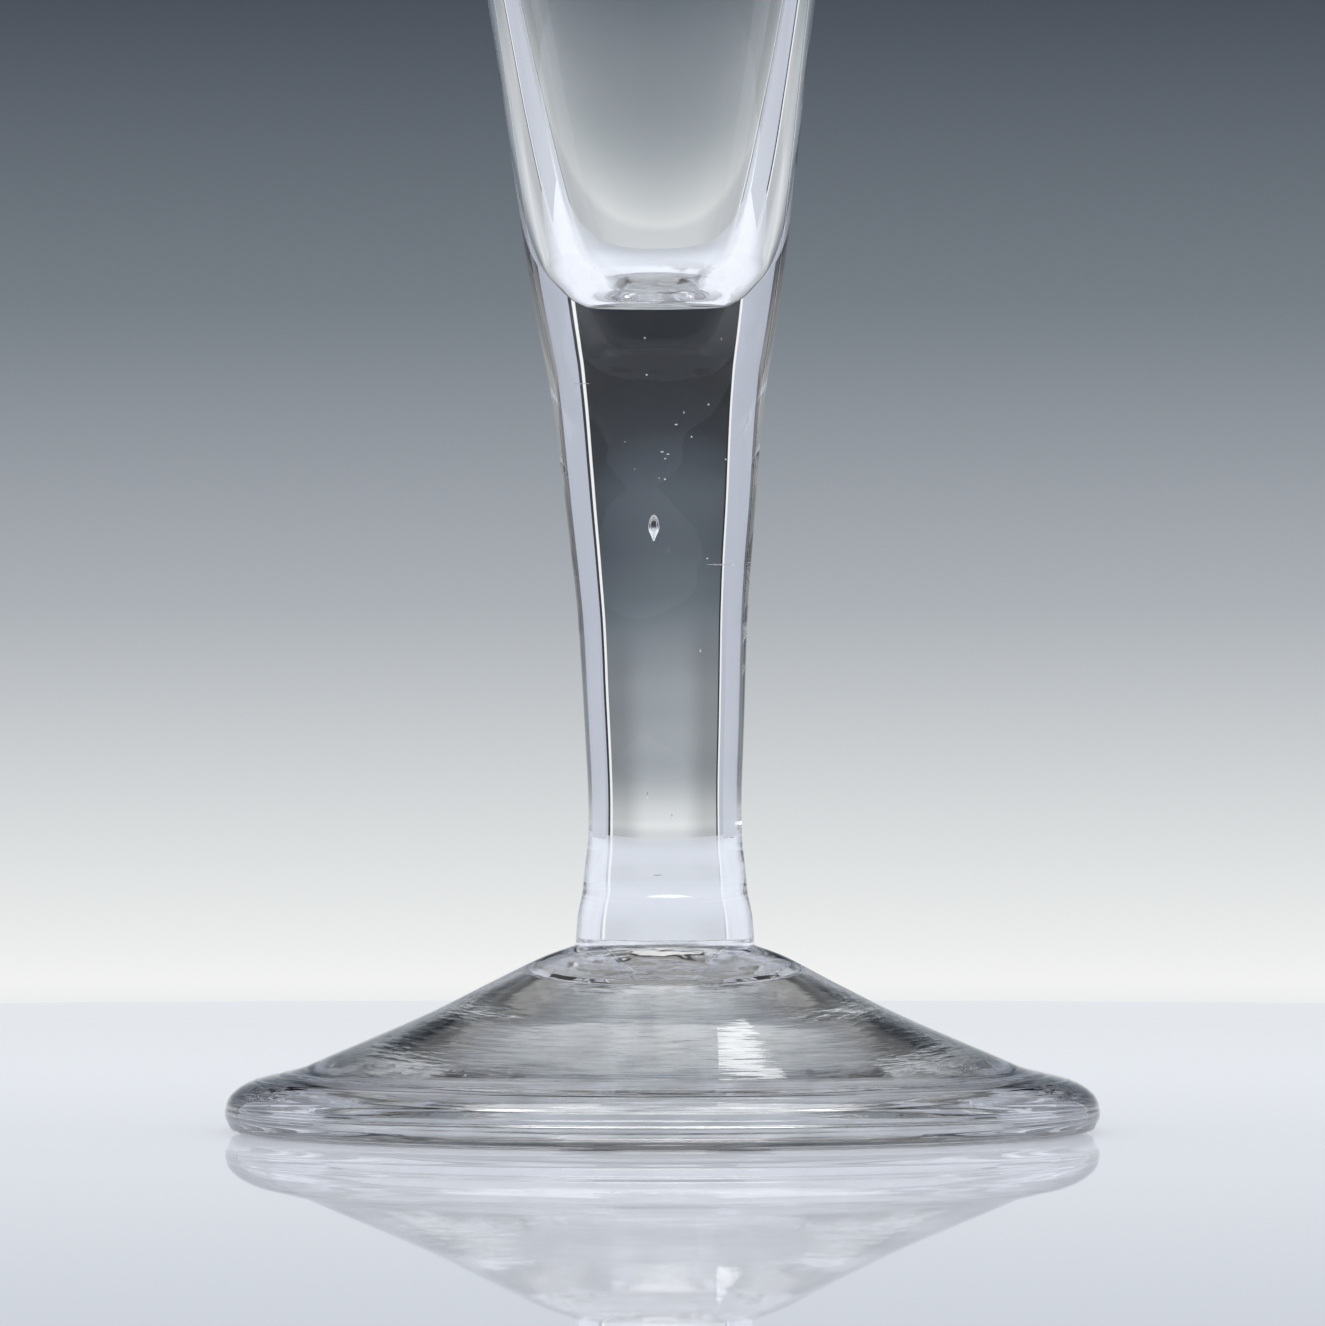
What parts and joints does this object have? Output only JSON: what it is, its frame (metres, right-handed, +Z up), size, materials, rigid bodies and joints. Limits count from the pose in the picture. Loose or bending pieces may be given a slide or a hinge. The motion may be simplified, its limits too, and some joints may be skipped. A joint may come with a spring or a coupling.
{
  "type": "ale glass",
  "caption": "Tall drawn-stem ale glass in clear lead glass: flute bowl with a thick base, solid tapering stem and a high conical foot with a folded rim.",
  "frame": {"origin": "on the table, under the middle of the foot", "axes": "+Z up along the stem towards the lip; the bowl leans very slightly towards -X; -Y faces the picture's camera"},
  "size_m": [0.076, 0.076, 0.184],
  "materials": {
    "clear_glass": "clear lead glass with a faint grey tone, fire polished, with fine tooling lines",
    "broken_glass": "rough broken glass of the pontil mark"
  },
  "bodies": {
    "root": {"bowl": "clear_glass", "stem": "clear_glass", "foot": "clear_glass", "foot_fold": "clear_glass", "pontil_mark": "broken_glass"}
  },
  "joints": []
}
